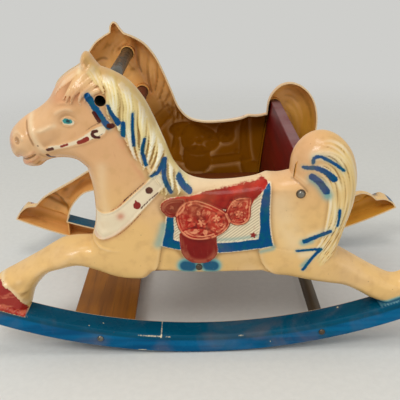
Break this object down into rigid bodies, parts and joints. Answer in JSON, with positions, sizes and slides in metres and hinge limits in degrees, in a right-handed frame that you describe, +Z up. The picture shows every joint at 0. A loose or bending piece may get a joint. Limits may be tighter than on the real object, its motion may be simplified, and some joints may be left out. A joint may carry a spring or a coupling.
{
  "type": "rocking horse",
  "caption": "Two-sided rocking horse: moulded side trays shaped as a leaping horse on curved runners, with seat, back and foot boards and a hand tube between them.",
  "frame": {"origin": "on the floor, under the middle of the horse's length and width", "axes": "+X towards the tail (the horse looks towards -X), +Y towards the horse's right side, +Z up"},
  "size_m": [0.8, 0.3812, 0.486],
  "materials": {
    "moulded_plastic": "semi-gloss moulded tan plastic, hand-painted in blue, red and cream",
    "red_painted_board": "satin dark red paint on wood",
    "brown_varnished_board": "worn brown varnish",
    "grey_steel_tube": "dull grey steel",
    "red_stained_dowel": "faded red stain",
    "dark_dowel": "weathered dark wood",
    "dark_screw_steel": "tarnished steel",
    "zinc_screw_steel": "dulled zinc plate"
  },
  "bodies": {
    "horse": {"left_side_shell": "moulded_plastic", "right_side_shell": "moulded_plastic", "seat_board": "red_painted_board", "back_board": "red_painted_board", "foot_board": "brown_varnished_board", "rear_cross_dowel": "dark_dowel", "seat_screw_left": "dark_screw_steel", "back_screw_left": "zinc_screw_steel", "foot_screw_left": "zinc_screw_steel", "rear_screw_left": "dark_screw_steel", "cup_washer_left": "dark_screw_steel", "seat_screw_right": "dark_screw_steel", "back_screw_right": "zinc_screw_steel", "foot_screw_right": "zinc_screw_steel", "rear_screw_right": "dark_screw_steel", "cup_washer_right": "dark_screw_steel", "backrest_screw_1": "zinc_screw_steel", "backrest_screw_2": "zinc_screw_steel", "backrest_screw_3": "zinc_screw_steel"},
    "hand_tube": {"head_tube": "grey_steel_tube"},
    "neck_bar": {"neck_dowel": "red_stained_dowel"}
  },
  "joints": [
    {"name": "head_tube_spin", "type": "hinge", "parent": "horse", "child": "hand_tube", "pos_m": [-0.144, 0, 0.425], "axis": [0, 1, 0], "continuous": true},
    {"name": "neck_dowel_spin", "type": "hinge", "parent": "horse", "child": "neck_bar", "pos_m": [-0.12, 0, 0.351], "axis": [0, 1, 0], "continuous": true}
  ]
}
